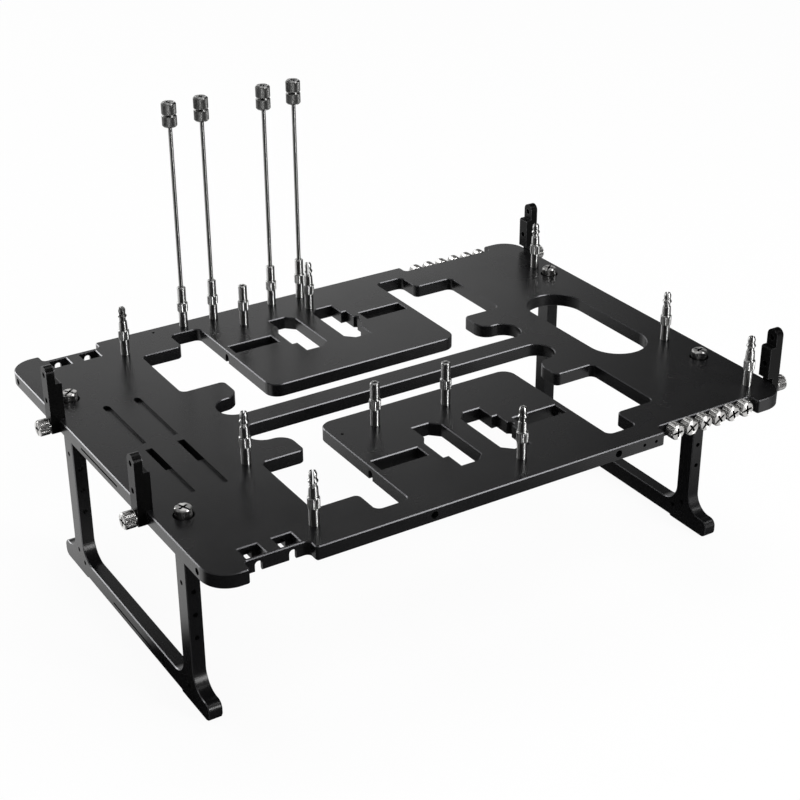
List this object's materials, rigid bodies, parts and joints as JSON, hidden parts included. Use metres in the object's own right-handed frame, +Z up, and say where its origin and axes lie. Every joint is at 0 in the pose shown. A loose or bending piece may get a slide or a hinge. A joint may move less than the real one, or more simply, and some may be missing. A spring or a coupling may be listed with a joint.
{
  "type": "open air test bench",
  "caption": "Open test bench for computer boards: a windowed black plate on two leg frames, with snap posts, upright rods, side brackets and thumbscrews along its edges.",
  "frame": {"origin": "on the floor, below the middle of the plate", "axes": "+X along the plate's long side towards the end with the oval opening, +Y towards the edge with the upright rods, +Z up"},
  "size_m": [0.3834, 0.27, 0.2535],
  "materials": {
    "black_anodised_plate": "satin black anodised",
    "black_anodised_legs": "satin black anodised",
    "black_anodised_brackets": "satin black anodised",
    "dark_nickel_posts": "polished dark nickel",
    "dark_nickel_rods": "polished dark nickel",
    "grey_nickel_knobs": "knurled dark nickel",
    "bright_nickel_screws": "knurled bright nickel"
  },
  "bodies": {
    "root": {"main_plate": "black_anodised_plate", "left_leg_frame": "black_anodised_legs", "right_leg_frame": "black_anodised_legs", "left_near_leg_bolt": "bright_nickel_screws", "left_far_leg_bolt": "bright_nickel_screws", "right_near_leg_bolt": "bright_nickel_screws", "right_far_leg_bolt": "bright_nickel_screws", "near_edge_thumbscrew_1": "bright_nickel_screws", "near_edge_thumbscrew_2": "bright_nickel_screws", "near_edge_thumbscrew_3": "bright_nickel_screws", "near_edge_thumbscrew_4": "bright_nickel_screws", "near_edge_thumbscrew_5": "bright_nickel_screws", "near_edge_thumbscrew_6": "bright_nickel_screws", "far_edge_thumbscrew_1": "bright_nickel_screws", "far_edge_thumbscrew_2": "bright_nickel_screws", "far_edge_thumbscrew_3": "bright_nickel_screws", "far_edge_thumbscrew_4": "bright_nickel_screws", "far_edge_thumbscrew_5": "bright_nickel_screws", "far_edge_thumbscrew_6": "bright_nickel_screws", "left_near_card_bracket": "black_anodised_brackets", "left_far_card_bracket": "black_anodised_brackets", "right_near_card_bracket": "black_anodised_brackets", "right_far_card_bracket": "black_anodised_brackets", "left_near_bracket_thumbscrew": "bright_nickel_screws", "left_far_bracket_thumbscrew": "bright_nickel_screws", "right_near_bracket_thumbscrew": "bright_nickel_screws", "right_far_bracket_thumbscrew": "bright_nickel_screws", "snap_board_post_1": "dark_nickel_posts", "snap_board_post_2": "dark_nickel_posts", "snap_board_post_3": "dark_nickel_posts", "snap_board_post_4": "dark_nickel_posts", "snap_board_post_5": "dark_nickel_posts", "snap_board_post_6": "dark_nickel_posts", "snap_board_post_7": "dark_nickel_posts", "snap_board_post_8": "dark_nickel_posts", "plain_board_post_1": "dark_nickel_posts", "plain_board_post_2": "dark_nickel_posts", "plain_board_post_3": "dark_nickel_posts", "rod_post_1": "dark_nickel_posts", "upright_rod_1": "dark_nickel_rods", "rod_knob_ring_1": "grey_nickel_knobs", "rod_knob_screw_1": "grey_nickel_knobs", "rod_post_2": "dark_nickel_posts", "upright_rod_2": "dark_nickel_rods", "rod_knob_ring_2": "grey_nickel_knobs", "rod_knob_screw_2": "grey_nickel_knobs", "rod_post_3": "dark_nickel_posts", "upright_rod_3": "dark_nickel_rods", "rod_knob_ring_3": "grey_nickel_knobs", "rod_knob_screw_3": "grey_nickel_knobs", "rod_post_4": "dark_nickel_posts", "upright_rod_4": "dark_nickel_rods", "rod_knob_ring_4": "grey_nickel_knobs", "rod_knob_screw_4": "grey_nickel_knobs"}
  },
  "joints": []
}
